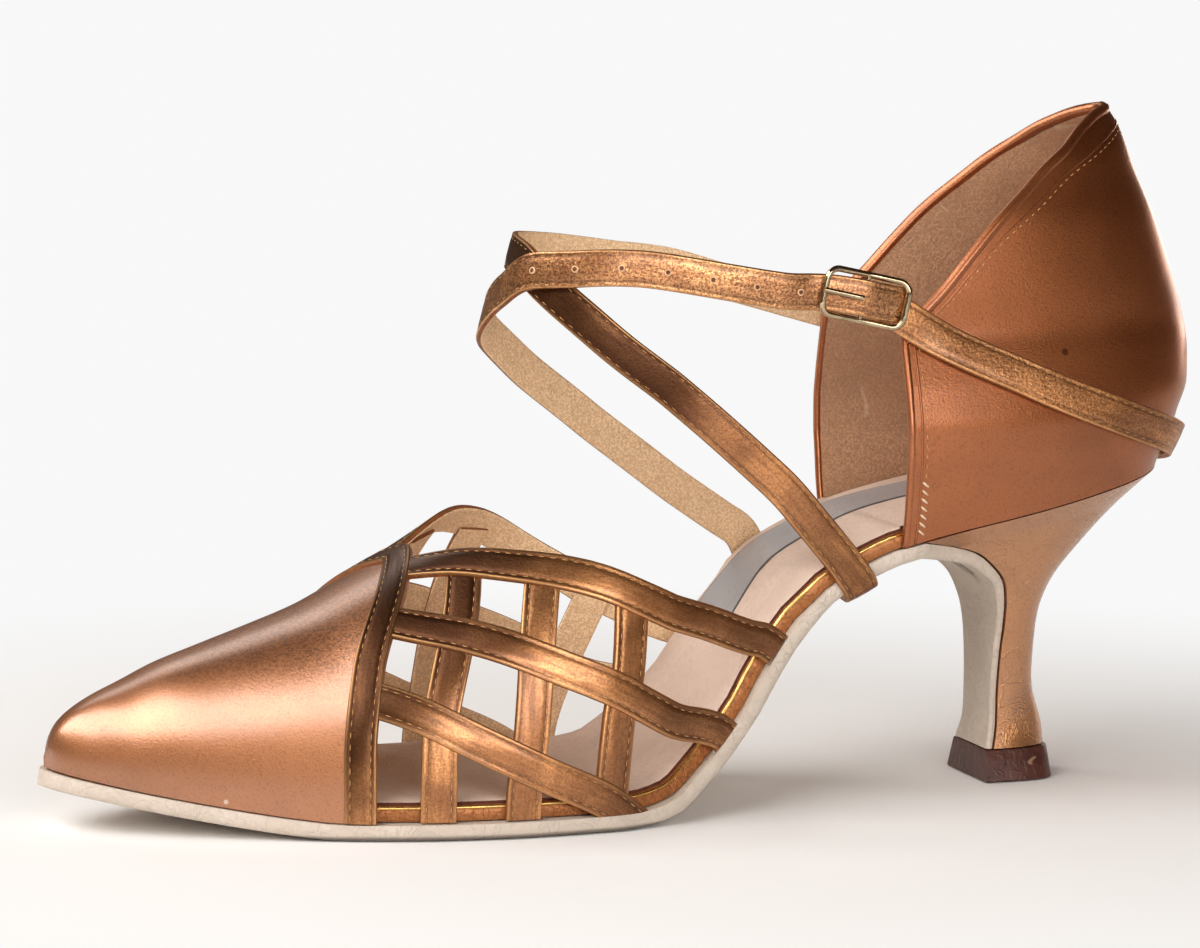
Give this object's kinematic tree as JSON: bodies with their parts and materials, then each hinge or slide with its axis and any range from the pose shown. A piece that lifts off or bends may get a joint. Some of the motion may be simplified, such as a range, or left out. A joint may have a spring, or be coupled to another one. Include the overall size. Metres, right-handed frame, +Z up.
{
  "type": "ballroom dance shoe",
  "caption": "Left dance shoe with closed pointed toe, woven strap sides, crossed instep straps with a small buckle, closed counter and slim flared heel.",
  "frame": {"origin": "middle of the heel tip's ground face", "axes": "+X towards the toe, +Y towards the outer side of the foot, +Z up"},
  "size_m": [0.2429, 0.0753, 0.1385],
  "materials": {
    "outsole": "matt split leather, pale grey-beige",
    "insole": "soft matt sock, pinkish beige",
    "heel": "copper satin cover",
    "heel_tip": "dark hard plastic",
    "vamp": "copper satin toe with metallic leather straps",
    "counter": "copper satin",
    "instep_strap_first": "metallic copper leather",
    "instep_strap_second": "metallic copper leather",
    "heel_strap": "grainy metallic copper leather",
    "buckle_frame": "polished",
    "buckle_prong": "polished"
  },
  "bodies": {
    "root": {"outsole": "outsole", "insole": "insole", "heel": "heel", "heel_tip": "heel_tip", "vamp": "vamp", "counter": "counter", "instep_strap_first": "instep_strap_first", "instep_strap_second": "instep_strap_second", "heel_strap": "heel_strap", "buckle_frame": "buckle_frame", "buckle_prong": "buckle_prong"}
  },
  "joints": []
}
